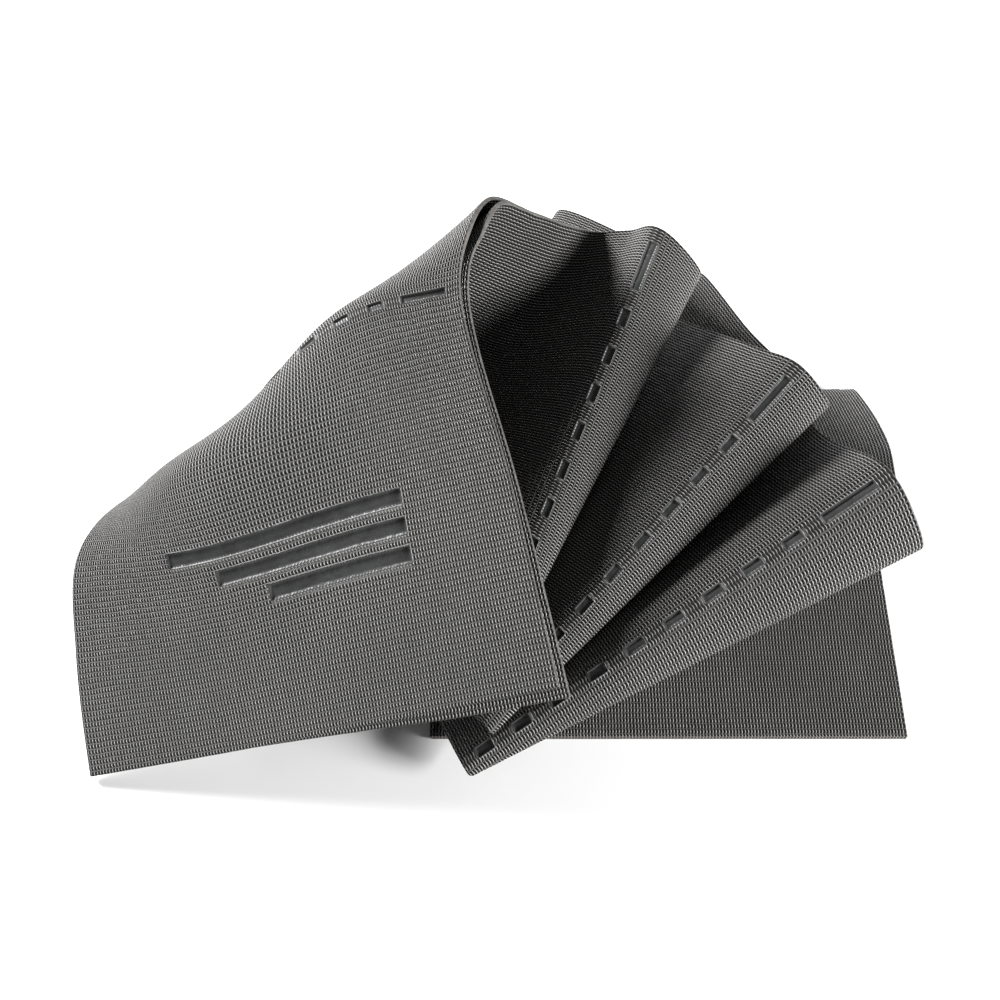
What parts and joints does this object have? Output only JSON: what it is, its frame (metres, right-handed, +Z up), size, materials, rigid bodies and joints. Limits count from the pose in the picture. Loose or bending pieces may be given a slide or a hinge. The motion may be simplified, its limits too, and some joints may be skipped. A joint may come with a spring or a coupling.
{
  "type": "folding exercise mat",
  "caption": "Thin doubled foam exercise mat, pleated into panels by pressed creases and left fanned open with the top panel draped to the floor.",
  "frame": {"origin": "centre of the bounding box, on the floor the lowest panel lies on", "axes": "+Z up, +X towards the free long edges of the doubled sheet, +Y towards the back folds"},
  "size_m": [0.5303, 0.3964, 0.2317],
  "materials": {
    "foam": "matte"
  },
  "bodies": {
    "panel_1": {"panel_1_mark_leaf": "foam", "panel_1_plain_leaf": "foam", "panel_1_spine_fold": "foam"},
    "panel_2": {"panel_2_mark_leaf": "foam", "panel_2_plain_leaf": "foam", "panel_2_spine_fold": "foam", "crease_1_outer_strip": "foam", "crease_1_inner_strip": "foam"},
    "panel_3": {"panel_3_mark_leaf": "foam", "panel_3_plain_leaf": "foam", "panel_3_spine_fold": "foam", "crease_2_outer_strip": "foam", "crease_2_inner_strip": "foam"},
    "panel_4": {"panel_4_mark_leaf": "foam", "panel_4_plain_leaf": "foam", "panel_4_spine_fold": "foam", "crease_3_outer_strip": "foam", "crease_3_inner_strip": "foam"},
    "panel_5": {"panel_5_mark_leaf": "foam", "panel_5_plain_leaf": "foam", "panel_5_spine_fold": "foam", "crease_4_outer_strip": "foam", "crease_4_inner_strip": "foam"},
    "panel_6": {"panel_6_mark_leaf": "foam", "panel_6_plain_leaf": "foam", "panel_6_spine_fold": "foam", "crease_5_outer_strip": "foam", "crease_5_inner_strip": "foam"},
    "panel_7": {"panel_7_mark_leaf": "foam", "panel_7_plain_leaf": "foam", "panel_7_spine_fold": "foam", "crease_6_outer_strip": "foam", "crease_6_inner_strip": "foam"},
    "panel_8": {"panel_8_mark_leaf": "foam", "panel_8_plain_leaf": "foam", "panel_8_spine_fold": "foam", "crease_7_outer_strip": "foam", "crease_7_inner_strip": "foam"}
  },
  "joints": [
    {"name": "fold_7", "type": "hinge", "parent": "panel_8", "child": "panel_7", "pos_m": [0.11187, 0.0875, 0.01393], "axis": [-0.999, -0.0454, 0.0002], "range_deg": [0, 20]},
    {"name": "fold_6", "type": "hinge", "parent": "panel_7", "child": "panel_6", "pos_m": [0.10543, -0.1242, 0.09569], "axis": [0.8056, 0.4085, 0.4292], "range_deg": [0, 35]},
    {"name": "fold_5", "type": "hinge", "parent": "panel_6", "child": "panel_5", "pos_m": [0.01721, 0.09246, 0.03874], "axis": [-0.8684, -0.4729, -0.1493], "range_deg": [0, 35]},
    {"name": "fold_4", "type": "hinge", "parent": "panel_5", "child": "panel_4", "pos_m": [0.08565, -0.08148, 0.11404], "axis": [0.6648, 0.6218, 0.414], "range_deg": [0, 22]},
    {"name": "fold_3", "type": "hinge", "parent": "panel_4", "child": "panel_3", "pos_m": [-0.05156, 0.08943, 0.03691], "axis": [-0.8013, -0.5977, -0.0258], "range_deg": [0, 45]},
    {"name": "fold_2", "type": "hinge", "parent": "panel_3", "child": "panel_2", "pos_m": [0.04811, -0.01344, 0.12992], "axis": [0.3725, 0.8671, 0.3307], "range_deg": [0, 6]},
    {"name": "fold_1", "type": "hinge", "parent": "panel_2", "child": "panel_1", "pos_m": [-0.13311, 0.02872, 0.13671], "axis": [-0.7467, -0.0974, -0.658], "range_deg": [0, 60]}
  ]
}
